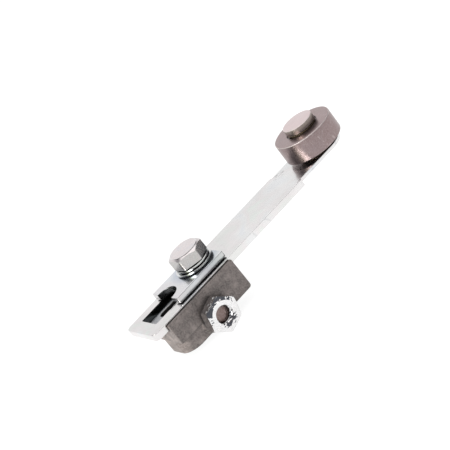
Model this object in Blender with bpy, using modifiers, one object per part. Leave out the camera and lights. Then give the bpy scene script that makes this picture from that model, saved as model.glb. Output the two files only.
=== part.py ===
# Adjustable guide roller for a sliding door: a slotted arm clamped on a cast block, with a roller at its end.
# Frame: origin on the side stud's axis at the block's front face, where the door's bracket is held,
# +X along the arm towards the roller, +Z up out of the arm's top face, -Y out of the front face. Metres.
# Every piece is modelled from the clamp bolt's axis at the arm's top face, then moved into that frame.
import math

import bmesh
import bpy
from mathutils import Vector

MM = 0.001
GAP = 0.3 * MM                      # clearance kept between neighbouring pieces

# Arm
ARM_WIDTH = 22.7 * MM
ARM_THICKNESS = 2.9 * MM
ARM_TAIL = 33.6 * MM                # from the clamp bolt to the arm's lower end
ARM_CORNER = 2.2 * MM               # radius of the lower end's corners
ARM_SHOULDER = 50.6 * MM            # from the clamp bolt to where the tongue starts
SHOULDER_CORNER = 0.8 * MM
TONGUE_INSET = 0.95 * MM            # step in from the arm's edges to the tongue
TONGUE_WIDTH = ARM_WIDTH - 2 * TONGUE_INSET
TONGUE_THICKNESS = 1.4 * MM
SLOT_WIDTH = 11.8 * MM
SLOT_OFFSET = 0.65 * MM             # the slot lies a little towards the rear edge
SLOT_MARGIN = 5.5 * MM              # metal left between the slot and the arm's lower end
SLOT_LENGTH = 34.4 * MM

# Roller and its needle bearing
ROLLER_REACH = 69.1 * MM            # from the clamp bolt to the roller's axis
ROLLER_DIAMETER = 25.0 * MM
ROLLER_HEIGHT = 8.8 * MM
ROLLER_LIP = 1.0 * MM               # metal over the bearing
ROLLER_EDGE = 0.5 * MM
HEAD_RECESS = 0.7 * MM              # shallow recess in the roller's top under the pin's head
HEAD_CLEARANCE = 0.2 * MM
PIN_DIAMETER = 7.8 * MM
PIN_NECK_DIAMETER = 6.0 * MM
PIN_HEAD_DIAMETER = 13.1 * MM
PIN_HEAD_HEIGHT = 2.7 * MM
PIN_HEAD_EDGE = 0.45 * MM
RIVET_DIAMETER = 9.6 * MM
RIVET_HEIGHT = 1.3 * MM
RIVET_CROWN = 1.6 * MM              # width of the rivet's sloping edge
NEEDLE_DIAMETER = 1.6 * MM
NEEDLE_COUNT = 10
CUP_WALL = 0.7 * MM
CUP_RIM = 0.5 * MM                  # thickness of the cup's turned-in rims
CUP_RIM_REACH = 0.9 * MM
CUP_RISE = 0.4 * MM                 # the cup stands this far inside the roller's lower face
CAGE_WALL = 0.9 * MM
CAGE_BAND = 0.5 * MM                # cage left above and below the needles' windows
THRUST_THICKNESS = 0.7 * MM
LOWER_THRUST_DIAMETER = 16.0 * MM

# Clamp plate and bolt
PLATE_INSET = 1.5 * MM              # step in from the arm's edges to the plate
PLATE_WIDTH = ARM_WIDTH - 2 * PLATE_INSET
PLATE_TAIL = 17.4 * MM              # from the clamp bolt to the notched end
PLATE_NOSE = 7.9 * MM
PLATE_THICKNESS = 2.6 * MM
PLATE_EDGE = 0.35 * MM
FOOT_HEIGHT = 0.1 * MM              # raised foot under the plate that bears on the arm
FOOT_INSET = 1.3 * MM
NOTCH_RADIUS = 5.5 * MM
BOLT_DIAMETER = 8.0 * MM
BOLT_LENGTH = 16.0 * MM             # shank under the head
BOLT_POINT = 0.9 * MM               # chamfer at a thread's end
BOLT_TURN = math.radians(34.0)
HEX_FLATS = 13.0 * MM
HEX_FACE = 0.95                     # chamfer circle's diameter over the width across flats
HEX_CHAMFER = math.radians(30.0)
HEAD_HEIGHT = 5.3 * MM
FLAT_WASHER = (16.0 * MM, 0.8 * MM)      # outer diameter, thickness
SPRING_WASHER = (14.4 * MM, 0.9 * MM)
WASHER_SPLIT = 0.7 * MM
SPLIT_TURN = math.radians(150.0)

# Cast block
BLOCK_TAIL = 27.7 * MM              # from the clamp bolt to the block's lower end
BLOCK_NOSE = 7.45 * MM
BLOCK_EDGE = 0.5 * MM
WALL = 1.6 * MM
FRONT_WALL_TOP = -0.7 * MM
REAR_WALL_TOP = -1.6 * MM
PAD_DEPTH_TAIL = 9.8 * MM           # depths are below the arm's top face
PAD_DEPTH_NOSE = 14.1 * MM
PAD_STEP = 14.2 * MM                # from the clamp bolt to where the pad gets shallower
BASE_DEPTH = 10.0 * MM
PAD_CORNER = 1.2 * MM
LUG_DEPTH = 16.0 * MM
LUG_REAR = 4.0 * MM                 # the lug's rear face, behind the clamp bolt's axis
LUG_LENGTH = 24.0 * MM
LUG_CORNER = 6.8 * MM               # the lug's round corner in front, at the block's lower end
LUG_REAR_CORNER = 3.0 * MM
LUG_EDGE = 0.8 * MM
BOSS_TAIL = 7.0 * MM                # thick metal round the clamp bolt's hole
BOSS_REAR = 6.0 * MM
BOSS_INSET = 0.6 * MM               # step in from the block's upper end
BOSS_DEPTH = 13.9 * MM
BOSS_ROUND = 1.6 * MM
RIB_TAIL = 6.0 * MM                 # guide rib inside the arm's slot
RIB_NOSE = 5.2 * MM
RIB_TOP = 0.5 * MM
DEEP_POCKET = 8.8 * MM
SHALLOW_POCKET = 6.2 * MM
POCKET_MARGIN = 5.6 * MM            # metal left at the block's lower end
POCKET_WALL = 0.9 * MM
POCKET_CORNER = 1.8 * MM
ROOT = 0.4 * MM                     # how far the casting's shapes run into one another

# Side stud and nut
HOLE_WALL = 1.6 * MM                # metal between the clamp bolt's hole and the stud's
STUD_OFFSET = -(BOLT_DIAMETER + 2 * GAP + HOLE_WALL)
STUD_DEPTH = 11.1 * MM              # below the arm's top face
STUD_RECESS = 3.0 * MM              # stud end inside the nut's outer face
STUD_SINK = 1.5 * MM                # metal left behind the stud's blind hole
STUD_BOSS_WALL = 3.0 * MM           # metal round the stud's hole
STUD_BOSS_RADIUS = BOLT_DIAMETER / 2 + GAP + STUD_BOSS_WALL
NUT_HEIGHT = 6.3 * MM
NUT_MOUTH = 1.3 * MM                # width of the countersink at the nut's ends
NUT_TURN = math.radians(17.6)

FINE = 0.1 * MM                     # chamfer on plain rods and rings
PAST = 1.0 * MM                     # how far a cutter runs past the face that it cuts

ZINC = ((0.74, 0.75, 0.76), 0.32, 1.0)
BRIGHT_ZINC = ((0.80, 0.79, 0.80), 0.22, 1.0)
CAST = ((0.20, 0.175, 0.165), 0.62, 0.8)
STEEL = ((0.34, 0.29, 0.27), 0.38, 1.0)
BRONZE = ((0.42, 0.31, 0.17), 0.45, 1.0)
GROUND = ((0.62, 0.62, 0.63), 0.18, 1.0)


def start_scene():
    for existing in list(bpy.data.objects):
        bpy.data.objects.remove(existing, do_unlink=True)
    collections = []
    for name in ("sliding_door_roller", "cutters"):
        group = bpy.data.collections.new(name)
        bpy.context.scene.collection.children.link(group)
        collections.append(group)
    return collections


def surface(name, look):
    colour, roughness, metallic = look
    material = bpy.data.materials.new(name)
    material.use_nodes = True
    shader = material.node_tree.nodes["Principled BSDF"]
    shader.inputs["Base Color"].default_value = (*colour, 1.0)
    shader.inputs["Roughness"].default_value = roughness
    shader.inputs["Metallic"].default_value = metallic
    return material


def add(name, mesh, group, look=None):
    item = bpy.data.objects.new(name, mesh)
    group.objects.link(item)
    if look:
        mesh.materials.append(surface(name, look))
    return item


def box(name, low, high, group, look=None, rounding=0.0, round_edges=None, segments=2):
    bm = bmesh.new()
    bmesh.ops.create_cube(bm, size=1.0)
    size = Vector(high) - Vector(low)
    bmesh.ops.scale(bm, vec=size, verts=bm.verts)
    bmesh.ops.translate(bm, vec=(Vector(low) + Vector(high)) / 2, verts=bm.verts)
    if rounding:
        edges = [edge for edge in bm.edges if not round_edges or round_edges(edge)]
        bmesh.ops.bevel(bm, geom=edges, offset=rounding, segments=segments, profile=0.5, affect="EDGES")
    mesh = bpy.data.meshes.new(name)
    bm.to_mesh(mesh)
    bm.free()
    return add(name, mesh, group, look)


def upright(edge):
    run = edge.verts[0].co - edge.verts[1].co
    return abs(run.z) > max(abs(run.x), abs(run.y))


def lower_long(edge):
    """True for a box's two lowest edges along the arm."""
    first, second = (vertex.co for vertex in edge.verts)
    run = first - second
    lowest = min(corner.co.z for corner in edge.link_faces[0].verts)
    other = min(corner.co.z for corner in edge.link_faces[1].verts)
    return abs(run.x) > max(abs(run.y), abs(run.z)) and first.z <= min(lowest, other)


def arc(centre, radius, start, end, steps):
    angles = [start + (end - start) * step / steps for step in range(steps + 1)]
    return [(centre[0] + radius * math.cos(angle), centre[1] + radius * math.sin(angle)) for angle in angles]


def sheet(name, outline, bottom, top, group, look=None):
    """A flat outline given a thickness, as a closed mesh."""
    curve = bpy.data.curves.new(name, "CURVE")
    curve.dimensions = "2D"
    curve.fill_mode = "BOTH"
    curve.extrude = (top - bottom) / 2
    spline = curve.splines.new("POLY")
    spline.points.add(len(outline) - 1)
    for point, (x, y) in zip(spline.points, outline):
        point.co = (x, y, 0.0, 1.0)
    spline.use_cyclic_u = True
    holder = bpy.data.objects.new(name + "_outline", curve)
    holder.location.z = (top + bottom) / 2
    group.objects.link(holder)
    bpy.context.view_layer.update()
    shape = bpy.context.evaluated_depsgraph_get()
    mesh = bpy.data.meshes.new_from_object(holder.evaluated_get(shape))
    mesh.name = name
    mesh.transform(holder.matrix_world)
    bpy.data.objects.remove(holder, do_unlink=True)
    bm = bmesh.new()
    bm.from_mesh(mesh)
    bmesh.ops.remove_doubles(bm, verts=bm.verts, dist=0.00001)
    bmesh.ops.recalc_face_normals(bm, faces=bm.faces)
    bm.to_mesh(mesh)
    bm.free()
    mesh.materials.clear()
    return add(name, mesh, group, look)


def turned(name, profile, group, look=None, steps=40, closed=True):
    """A profile of (radius, height) points turned about Z; it runs down its outer side."""
    mesh = bpy.data.meshes.new(name)
    points = [(radius, 0.0, height) for radius, height in profile]
    edges = [(index, index + 1) for index in range(len(points) - 1)]
    if closed:
        edges.append((len(points) - 1, 0))
    mesh.from_pydata(points, edges, [])
    item = add(name, mesh, group, look)
    screw = item.modifiers.new("turn", "SCREW")
    screw.axis = "Z"
    screw.steps = steps
    screw.render_steps = steps
    screw.use_merge_vertices = True
    screw.merge_threshold = 0.00001
    return item


def combine(item, other, operation):
    cut = item.modifiers.new(operation.lower() + "_" + other.name, "BOOLEAN")
    cut.operation = operation
    cut.solver = "EXACT"
    cut.object = other
    other.hide_render = True
    other.display_type = "WIRE"
    return item


def rod(name, radius, bottom, top, group, look=None, chamfer=FINE, steps=32):
    profile = [(0.0, top), (radius - chamfer, top), (radius, top - chamfer), (radius, bottom + chamfer),
               (radius - chamfer, bottom), (0.0, bottom)]
    return turned(name, profile, group, look, steps, closed=False)


def ring(name, inner, outer, bottom, top, look, chamfer=FINE, steps=40):
    profile = [(inner, top), (outer - chamfer, top), (outer, top - chamfer), (outer, bottom + chamfer),
               (outer - chamfer, bottom), (inner, bottom)]
    return turned(name, profile, parts, look, steps)


def hex_prism(name, height, look, both_ends):
    """A hexagon, its corners turned down at the top end or at both, and the cutter that turns them."""
    bm = bmesh.new()
    corner = HEX_FLATS / math.sqrt(3)
    bmesh.ops.create_cone(bm, cap_ends=True, segments=6, radius1=corner, radius2=corner, depth=height)
    bmesh.ops.translate(bm, vec=(0, 0, height / 2), verts=bm.verts)
    mesh = bpy.data.meshes.new(name)
    bm.to_mesh(mesh)
    bm.free()
    item = add(name, mesh, parts, look)
    face = HEX_FLATS * HEX_FACE / 2
    reach = corner + PAST
    drop = (reach - face) * math.tan(HEX_CHAMFER)
    profile = [(0.0, height), (face, height), (reach, height - drop)]
    if both_ends:
        profile += [(reach, drop), (face, 0.0), (0.0, 0.0)]
    else:
        profile += [(reach, -PAST), (0.0, -PAST)]
    crown = turned(name + "_crown", profile, cutters, steps=36, closed=False)
    combine(item, crown, "INTERSECT")
    return item, crown


def make_arm():
    half = ARM_WIDTH / 2
    tongue = TONGUE_WIDTH / 2
    right = math.radians(90)
    turn = ARM_SHOULDER - SHOULDER_CORNER
    side = half - SHOULDER_CORNER
    outline = arc((-ARM_TAIL + ARM_CORNER, half - ARM_CORNER), ARM_CORNER, right, 2 * right, 5)
    outline += arc((-ARM_TAIL + ARM_CORNER, -half + ARM_CORNER), ARM_CORNER, 2 * right, 3 * right, 5)
    outline += arc((turn, -side), SHOULDER_CORNER, -right, 0, 3)
    outline += [(ARM_SHOULDER, -tongue)]
    outline += arc((ROLLER_REACH, 0.0), tongue, -right, right, 20)
    outline += [(ARM_SHOULDER, tongue)]
    outline += arc((turn, side), SHOULDER_CORNER, 0, right, 3)
    arm = sheet("arm_bar", outline, -ARM_THICKNESS, 0.0, parts, ZINC)
    relief = box("tongue_relief", (ARM_SHOULDER, -ARM_WIDTH, -2 * ARM_THICKNESS),
                 (ROLLER_REACH + ARM_WIDTH, ARM_WIDTH, -TONGUE_THICKNESS), cutters)
    slot_start = -ARM_TAIL + SLOT_MARGIN
    slot = box("arm_slot", (slot_start, SLOT_OFFSET - SLOT_WIDTH / 2, -2 * ARM_THICKNESS),
               (slot_start + SLOT_LENGTH, SLOT_OFFSET + SLOT_WIDTH / 2, ARM_THICKNESS), cutters,
               rounding=0.05 * SLOT_WIDTH, round_edges=upright)
    pin_hole = rod("pin_hole", PIN_NECK_DIAMETER / 2 + GAP, -2 * ARM_THICKNESS, ARM_THICKNESS, cutters)
    pin_hole.location.x = ROLLER_REACH
    for cutter in (relief, slot, pin_hole):
        combine(arm, cutter, "DIFFERENCE")


def make_clamp_plate():
    """Returns the height of the plate's top, where the washers sit."""
    bottom = GAP + FOOT_HEIGHT
    top = bottom + PLATE_THICKNESS
    half = PLATE_WIDTH / 2
    plate = box("clamp_plate", (-PLATE_TAIL, -half, bottom), (PLATE_NOSE, half, top), parts, ZINC,
                rounding=PLATE_EDGE)
    foot = box("plate_foot", (-PLATE_TAIL + FOOT_INSET, -half + FOOT_INSET, GAP),
               (PLATE_NOSE - FOOT_INSET, half - FOOT_INSET, bottom + PLATE_THICKNESS / 2), cutters)
    notch = rod("plate_notch", NOTCH_RADIUS, -PAST, top + PAST, cutters)
    notch.location.x = -PLATE_TAIL
    hole = rod("plate_hole", BOLT_DIAMETER / 2 + GAP, -PAST, top + PAST, cutters)
    combine(plate, foot, "UNION")
    combine(plate, notch, "DIFFERENCE")
    combine(plate, hole, "DIFFERENCE")
    return top


def make_clamp_bolt(seat):
    bore = BOLT_DIAMETER / 2 + GAP
    washers = []
    for name, (outer, thickness) in (("flat_washer", FLAT_WASHER), ("spring_washer", SPRING_WASHER)):
        washers.append(ring(name, bore, outer / 2, seat + GAP, seat + GAP + thickness, BRIGHT_ZINC))
        seat += GAP + thickness
    outer = SPRING_WASHER[0]
    split = box("washer_split", (0.0, -WASHER_SPLIT / 2, 0.0), (outer, WASHER_SPLIT / 2, seat + PAST), cutters)
    split.rotation_euler.z = SPLIT_TURN
    combine(washers[1], split, "DIFFERENCE")
    head, crown = hex_prism("clamp_bolt", HEAD_HEIGHT, BRIGHT_ZINC, both_ends=False)
    head.rotation_euler.z = BOLT_TURN
    for item in (head, crown):
        item.location.z = seat + GAP
    shank = rod("bolt_shank", BOLT_DIAMETER / 2, seat + GAP - BOLT_LENGTH, seat + GAP + HEAD_HEIGHT / 3, cutters,
                chamfer=BOLT_POINT)
    combine(head, shank, "UNION")


def make_block():
    """Returns how far the front face stands from the arm's centreline."""
    inner = ARM_WIDTH / 2 + GAP
    outer = inner + WALL
    tail, nose = -BLOCK_TAIL, BLOCK_NOSE
    rib = SLOT_WIDTH / 2 - GAP
    block = box("cast_block", (tail, -inner - ROOT, -BASE_DEPTH), (nose, outer, -ARM_THICKNESS - GAP), parts, CAST,
                rounding=BLOCK_EDGE)
    shapes = [
        make_front_wall(inner, outer),
        make_stud_boss(inner, outer),
        box("rear_wall", (tail + FINE, inner, -BASE_DEPTH + PAST), (nose - FINE, outer - FINE, REAR_WALL_TOP),
            cutters, rounding=BLOCK_EDGE),
        make_lug(inner),
        box("bolt_boss", (-BOSS_TAIL, -inner - ROOT, -BOSS_DEPTH),
            (nose - BOSS_INSET, BOSS_REAR, -BASE_DEPTH / 2), cutters, rounding=BOSS_ROUND, round_edges=lower_long, segments=3),
        box("guide_rib", (-RIB_TAIL, SLOT_OFFSET - rib, -BASE_DEPTH / 2), (RIB_NOSE, SLOT_OFFSET + rib, -RIB_TOP),
            cutters, rounding=BLOCK_EDGE),
    ]
    for shape in shapes:
        combine(block, shape, "UNION")
    cut_block(block)
    return outer


def make_front_wall(inner, outer):
    """The wall beside the arm and the pad below it, one flat face in front."""
    outline = [(-BLOCK_TAIL, FRONT_WALL_TOP), (-BLOCK_TAIL, -PAD_DEPTH_TAIL), (-PAD_STEP, -PAD_DEPTH_TAIL),
               (-PAD_STEP, -PAD_DEPTH_NOSE)]
    outline += arc((BLOCK_NOSE - PAD_CORNER, PAD_CORNER - PAD_DEPTH_NOSE), PAD_CORNER, math.radians(-90), 0.0, 4)
    outline += [(BLOCK_NOSE, FRONT_WALL_TOP)]
    wall = sheet("front_wall", outline, inner, outer, cutters)
    wall.rotation_euler.x = math.radians(90)
    round_over(wall, BLOCK_EDGE)
    return wall


def round_over(item, width, segments=2):
    rounding = item.modifiers.new("rounding", "BEVEL")
    rounding.width = width
    rounding.segments = segments
    rounding.limit_method = "ANGLE"
    rounding.angle_limit = math.radians(50)


def make_lug(inner):
    """The thick lug that the side stud is held in, its corners round at the block's lower end."""
    right = math.radians(90)
    tail, front, rear = -BLOCK_TAIL + FINE, -inner - ROOT, LUG_REAR
    outline = arc((tail + LUG_CORNER, front + LUG_CORNER), LUG_CORNER, 2 * right, 3 * right, 9)
    outline += [(tail + LUG_LENGTH, front), (tail + LUG_LENGTH, rear)]
    outline += arc((tail + LUG_REAR_CORNER, rear - LUG_REAR_CORNER), LUG_REAR_CORNER, right, 2 * right, 5)
    lug = sheet("lug", outline, -LUG_DEPTH, -BASE_DEPTH / 2, cutters)
    round_over(lug, LUG_EDGE, segments=3)
    return lug


def make_stud_boss(inner, outer):
    boss = rod("stud_boss", STUD_BOSS_RADIUS, inner - 2 * WALL, outer - FINE, cutters, chamfer=BLOCK_EDGE, steps=40)
    boss.rotation_euler.x = math.radians(90)
    boss.location = (STUD_OFFSET, 0.0, -STUD_DEPTH)
    return boss


def cut_block(block):
    bore = BOLT_DIAMETER / 2 + GAP
    side = SLOT_WIDTH / 2 - POCKET_WALL
    start = -BLOCK_TAIL + POCKET_MARGIN
    middle = STUD_OFFSET - bore - POCKET_WALL
    deep = box("deep_pocket", (start, SLOT_OFFSET - side, -DEEP_POCKET), (middle, SLOT_OFFSET + side, PAST), cutters,
               rounding=POCKET_CORNER, round_edges=upright, segments=3)
    shallow = box("shallow_pocket", (middle - POCKET_WALL, SLOT_OFFSET - side + FINE, -SHALLOW_POCKET),
                  (-RIB_TAIL - POCKET_WALL, SLOT_OFFSET + side - FINE, PAST + FINE), cutters)
    bolt_hole = rod("bolt_hole", bore, -LUG_DEPTH - PAST, PAST, cutters)
    stud_hole = rod("stud_hole", bore, STUD_SINK - LUG_REAR, ARM_WIDTH, cutters)
    stud_hole.rotation_euler.x = math.radians(90)
    stud_hole.location = (STUD_OFFSET, 0.0, -STUD_DEPTH)
    for cutter in (deep, shallow, bolt_hole, stud_hole):
        combine(block, cutter, "DIFFERENCE")


def make_side_nut(face):
    nut, crown = hex_prism("side_nut", NUT_HEIGHT, BRIGHT_ZINC, both_ends=True)
    bore = BOLT_DIAMETER / 2 + GAP
    mouth = bore + NUT_MOUTH
    profile = [(0.0, NUT_HEIGHT + PAST), (mouth, NUT_HEIGHT + PAST), (bore, NUT_HEIGHT - GAP), (bore, GAP),
               (mouth, -PAST), (0.0, -PAST)]
    thread = turned("nut_bore", profile, cutters, steps=32, closed=False)
    combine(nut, thread, "DIFFERENCE")
    for item in (nut, crown, thread):
        item.rotation_euler = (math.radians(90), NUT_TURN, 0.0)
        item.location = (STUD_OFFSET, -face - GAP, -STUD_DEPTH)
    end = face + GAP + NUT_HEIGHT - STUD_RECESS
    stud = rod("side_stud", BOLT_DIAMETER / 2, STUD_SINK - LUG_REAR + GAP, end, parts, ZINC, chamfer=BOLT_POINT)
    stud.rotation_euler.x = math.radians(90)
    stud.location = (STUD_OFFSET, 0.0, -STUD_DEPTH)


def make_roller():
    """The roller and everything inside it; heights are measured from the arm's top face."""
    bottom = GAP + THRUST_THICKNESS + GAP
    top = bottom + ROLLER_HEIGHT
    recess = top - HEAD_RECESS
    lip_bottom = recess - ROLLER_LIP
    outer = ROLLER_DIAMETER / 2
    passage = PIN_DIAMETER / 2 + 2 * GAP
    cup_outer = PIN_DIAMETER / 2 + 3 * GAP + NEEDLE_DIAMETER + CUP_WALL
    head_recess = PIN_HEAD_DIAMETER / 2 + HEAD_CLEARANCE
    profile = [(head_recess, top), (outer - ROLLER_EDGE, top), (outer, top - ROLLER_EDGE),
               (outer, bottom + ROLLER_EDGE), (outer - ROLLER_EDGE, bottom), (cup_outer + GAP, bottom),
               (cup_outer + GAP, lip_bottom), (passage, lip_bottom), (passage, recess), (head_recess, recess)]
    pieces = [turned("roller", profile, parts, STEEL, steps=64)]
    cup_bottom = bottom + CUP_RISE
    cup_top = lip_bottom - GAP
    pieces.append(make_needle_cup(cup_outer, cup_bottom, cup_top))
    pin_clear = PIN_DIAMETER / 2 + GAP
    pieces.append(ring("upper_thrust_washer", pin_clear, PIN_HEAD_DIAMETER / 2 - GAP, recess + GAP,
                       recess + GAP + THRUST_THICKNESS, BRONZE, steps=32))
    pieces.append(ring("lower_thrust_washer", pin_clear, LOWER_THRUST_DIAMETER / 2, GAP, GAP + THRUST_THICKNESS,
                       BRONZE, steps=32))
    pieces.append(make_pin(recess + 2 * GAP + THRUST_THICKNESS))
    pieces += make_needles(cup_bottom + CUP_RIM + GAP, cup_top - CUP_RIM - GAP)
    axle = bpy.data.objects.new("roller_axis", None)
    parts.objects.link(axle)
    axle.location.x = ROLLER_REACH
    for item in pieces:
        item.parent = axle


def make_needle_cup(outer, bottom, top):
    inner = outer - CUP_WALL
    rim = inner - CUP_RIM_REACH
    profile = [(rim, top), (outer, top), (outer, bottom), (rim, bottom), (rim, bottom + CUP_RIM),
               (inner, bottom + CUP_RIM), (inner, top - CUP_RIM), (rim, top - CUP_RIM)]
    return turned("needle_cup", profile, parts, GROUND, steps=32)


def make_pin(seat):
    """The pin's head bears on the upper thrust washer; its neck is riveted under the arm's tongue."""
    head = PIN_HEAD_DIAMETER / 2
    top = seat + PIN_HEAD_HEIGHT
    neck = PIN_NECK_DIAMETER / 2
    rivet = RIVET_DIAMETER / 2
    rivet_top = -TONGUE_THICKNESS - GAP
    profile = [(0.0, top), (head - PIN_HEAD_EDGE, top), (head, top - PIN_HEAD_EDGE), (head, seat + GAP),
               (head - GAP, seat), (PIN_DIAMETER / 2, seat), (PIN_DIAMETER / 2, GAP), (neck, GAP), (neck, rivet_top),
               (rivet, rivet_top), (rivet - GAP, rivet_top - RIVET_HEIGHT / 2),
               (rivet - RIVET_CROWN, rivet_top - RIVET_HEIGHT), (0.0, rivet_top - RIVET_HEIGHT)]
    return turned("roller_pin", profile, parts, STEEL, steps=48, closed=False)


def make_needles(bottom, top):
    pitch = (PIN_DIAMETER + NEEDLE_DIAMETER) / 2 + GAP
    wide = NEEDLE_DIAMETER / 2 + GAP
    cage = ring("needle_cage", pitch - CAGE_WALL / 2, pitch + CAGE_WALL / 2, bottom, top, BRONZE)
    pieces = [cage]
    for index in range(NEEDLE_COUNT):
        angle = 2 * math.pi * index / NEEDLE_COUNT
        needle = rod(f"needle_{index + 1:02d}", NEEDLE_DIAMETER / 2, bottom + CAGE_BAND + GAP, top - CAGE_BAND - GAP,
                     parts, GROUND, steps=12)
        needle.location = (pitch * math.cos(angle), pitch * math.sin(angle), 0.0)
        window = box(f"cage_window_{index + 1:02d}", (pitch - CAGE_WALL, -wide, bottom + CAGE_BAND),
                     (pitch + CAGE_WALL, wide, top - CAGE_BAND), cutters)
        window.rotation_euler.z = angle
        combine(cage, window, "DIFFERENCE")
        pieces += [needle, window]
    return pieces


def place_in_frame(face):
    origin = bpy.data.objects.new("block_origin", None)
    parts.objects.link(origin)
    origin.location = (-STUD_OFFSET, face, STUD_DEPTH)
    for item in list(parts.objects) + list(cutters.objects):
        if item is not origin and item.parent is None:
            item.parent = origin


def settle():
    """Give each piece its evaluated mesh, with its round faces shaded smooth."""
    bpy.context.view_layer.update()
    shape = bpy.context.evaluated_depsgraph_get()
    pieces = [item for item in parts.objects if item.type == "MESH"]
    meshes = [bpy.data.meshes.new_from_object(item.evaluated_get(shape)) for item in pieces]
    for item, mesh in zip(pieces, meshes):
        item.modifiers.clear()
        item.data = mesh
        mesh.shade_smooth()
        mesh.set_sharp_from_angle(angle=math.radians(30))


parts, cutters = start_scene()
make_arm()
clamp_seat = make_clamp_plate()
make_clamp_bolt(clamp_seat)
block_face = make_block()
make_side_nut(block_face)
make_roller()
place_in_frame(block_face)
settle()
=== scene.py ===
# Sliding door roller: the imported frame, dressed with detailed pieces and finishes.
# Metres, with +Z out of the arm's top.
import math

import bmesh
import bpy
from mathutils import Matrix, Vector


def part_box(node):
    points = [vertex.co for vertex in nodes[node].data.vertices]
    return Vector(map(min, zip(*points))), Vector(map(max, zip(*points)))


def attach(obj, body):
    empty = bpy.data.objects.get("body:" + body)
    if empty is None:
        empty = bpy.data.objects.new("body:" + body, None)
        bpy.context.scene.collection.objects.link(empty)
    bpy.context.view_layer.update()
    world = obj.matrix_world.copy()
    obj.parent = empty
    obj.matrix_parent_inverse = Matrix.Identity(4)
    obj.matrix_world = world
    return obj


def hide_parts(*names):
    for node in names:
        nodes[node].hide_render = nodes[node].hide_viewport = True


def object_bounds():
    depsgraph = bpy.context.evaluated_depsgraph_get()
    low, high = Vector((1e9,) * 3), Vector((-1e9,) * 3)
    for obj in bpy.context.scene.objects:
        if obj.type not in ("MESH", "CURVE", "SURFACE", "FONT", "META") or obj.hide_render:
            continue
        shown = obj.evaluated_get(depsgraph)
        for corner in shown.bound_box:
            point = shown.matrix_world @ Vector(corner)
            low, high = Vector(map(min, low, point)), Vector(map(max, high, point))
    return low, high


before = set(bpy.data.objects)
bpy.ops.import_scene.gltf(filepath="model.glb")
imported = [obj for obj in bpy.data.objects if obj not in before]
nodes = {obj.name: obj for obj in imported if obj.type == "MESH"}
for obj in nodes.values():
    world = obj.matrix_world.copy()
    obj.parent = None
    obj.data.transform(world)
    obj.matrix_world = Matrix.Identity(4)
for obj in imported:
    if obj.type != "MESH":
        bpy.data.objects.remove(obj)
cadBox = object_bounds()
mm = 0.001


def linked(name, data):  # a new object in the scene
    holder = bpy.data.objects.new(name, data)
    bpy.context.scene.collection.objects.link(holder)
    return holder


def applied(holder):  # its mesh with every modifier applied
    bpy.context.view_layer.update()
    return bpy.data.meshes.new_from_object(holder.evaluated_get(bpy.context.evaluated_depsgraph_get()))


def polar(radius, angle, height):
    return radius * math.cos(angle), radius * math.sin(angle), height


def newPiece(name, mesh, body, finish, nodeNames, place=(0, 0, 0)):
    piece = linked(name, mesh)
    piece.location = place
    mesh.materials.clear()
    mesh.materials.append(finish)
    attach(piece, body)
    if nodeNames:
        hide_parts(*nodeNames)
    return piece


def smooth(mesh, degrees=35):
    mesh.shade_smooth()
    mesh.set_sharp_from_angle(angle=math.radians(degrees))
    return mesh


def tidyMesh(mesh, reach=0.002 * mm):
    bm = bmesh.new()
    bm.from_mesh(mesh)
    bmesh.ops.remove_doubles(bm, verts=bm.verts, dist=reach)
    bmesh.ops.recalc_face_normals(bm, faces=bm.faces)
    bm.to_mesh(mesh)
    bm.free()
    return mesh


def gridMesh(name, rows, closedRound=True, capStart=False, capEnd=False):
    # rows of points, joined row to row; every row has the same count and runs once round
    rowCount, count = len(rows), len(rows[0])
    points = [tuple(point) for row in rows for point in row]
    faces = []
    for row in range(rowCount - 1):
        for step in range(count if closedRound else count - 1):
            following = (step + 1) % count
            here, above = row * count, (row + 1) * count
            faces.append((here + step, here + following, above + following, above + step))
    if capStart:
        faces.append(tuple(reversed(range(count))))
    if capEnd:
        faces.append(tuple(range((rowCount - 1) * count, rowCount * count)))
    mesh = bpy.data.meshes.new(name)
    mesh.from_pydata(points, [], faces)
    return tidyMesh(mesh)


def turnedMesh(name, profile, steps=128):  # a closed profile of (radius, height) turned about Z
    angles = [2 * math.pi * step / steps for step in range(steps)]
    rows = [[polar(radius, angle, height) for angle in angles]
            for radius, height in list(profile) + [profile[0]]]
    return smooth(gridMesh(name, rows), 28)


def roundCorner(before, corner, after, radius, steps=3):  # a small arc in place of a profile's corner
    first = (Vector(before) - Vector(corner)).normalized()
    second = (Vector(after) - Vector(corner)).normalized()
    start, end = Vector(corner) + first * radius, Vector(corner) + second * radius
    shares = [step / steps for step in range(steps + 1)]
    return [tuple((1 - a) ** 2 * start + 2 * a * (1 - a) * Vector(corner) + a ** 2 * end) for a in shares]


def softProfile(profile, radius, steps=3):  # rounds every corner of a closed profile off the axis
    points = []
    for index, corner in enumerate(profile):
        before, after = profile[index - 1], profile[(index + 1) % len(profile)]
        room = min((Vector(before) - Vector(corner)).length, (Vector(after) - Vector(corner)).length)
        if corner[0] < 0.01 * mm or room < 0.01 * mm:
            points.append(corner)
        else:
            points += roundCorner(before, corner, after, min(radius, room * 0.45), steps)
    return points


def arcPoints(centre, radius, start, end, steps):
    angles = [start + (end - start) * step / steps for step in range(steps + 1)]
    return [(centre[0] + radius * math.cos(a), centre[1] + radius * math.sin(a)) for a in angles]


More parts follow.
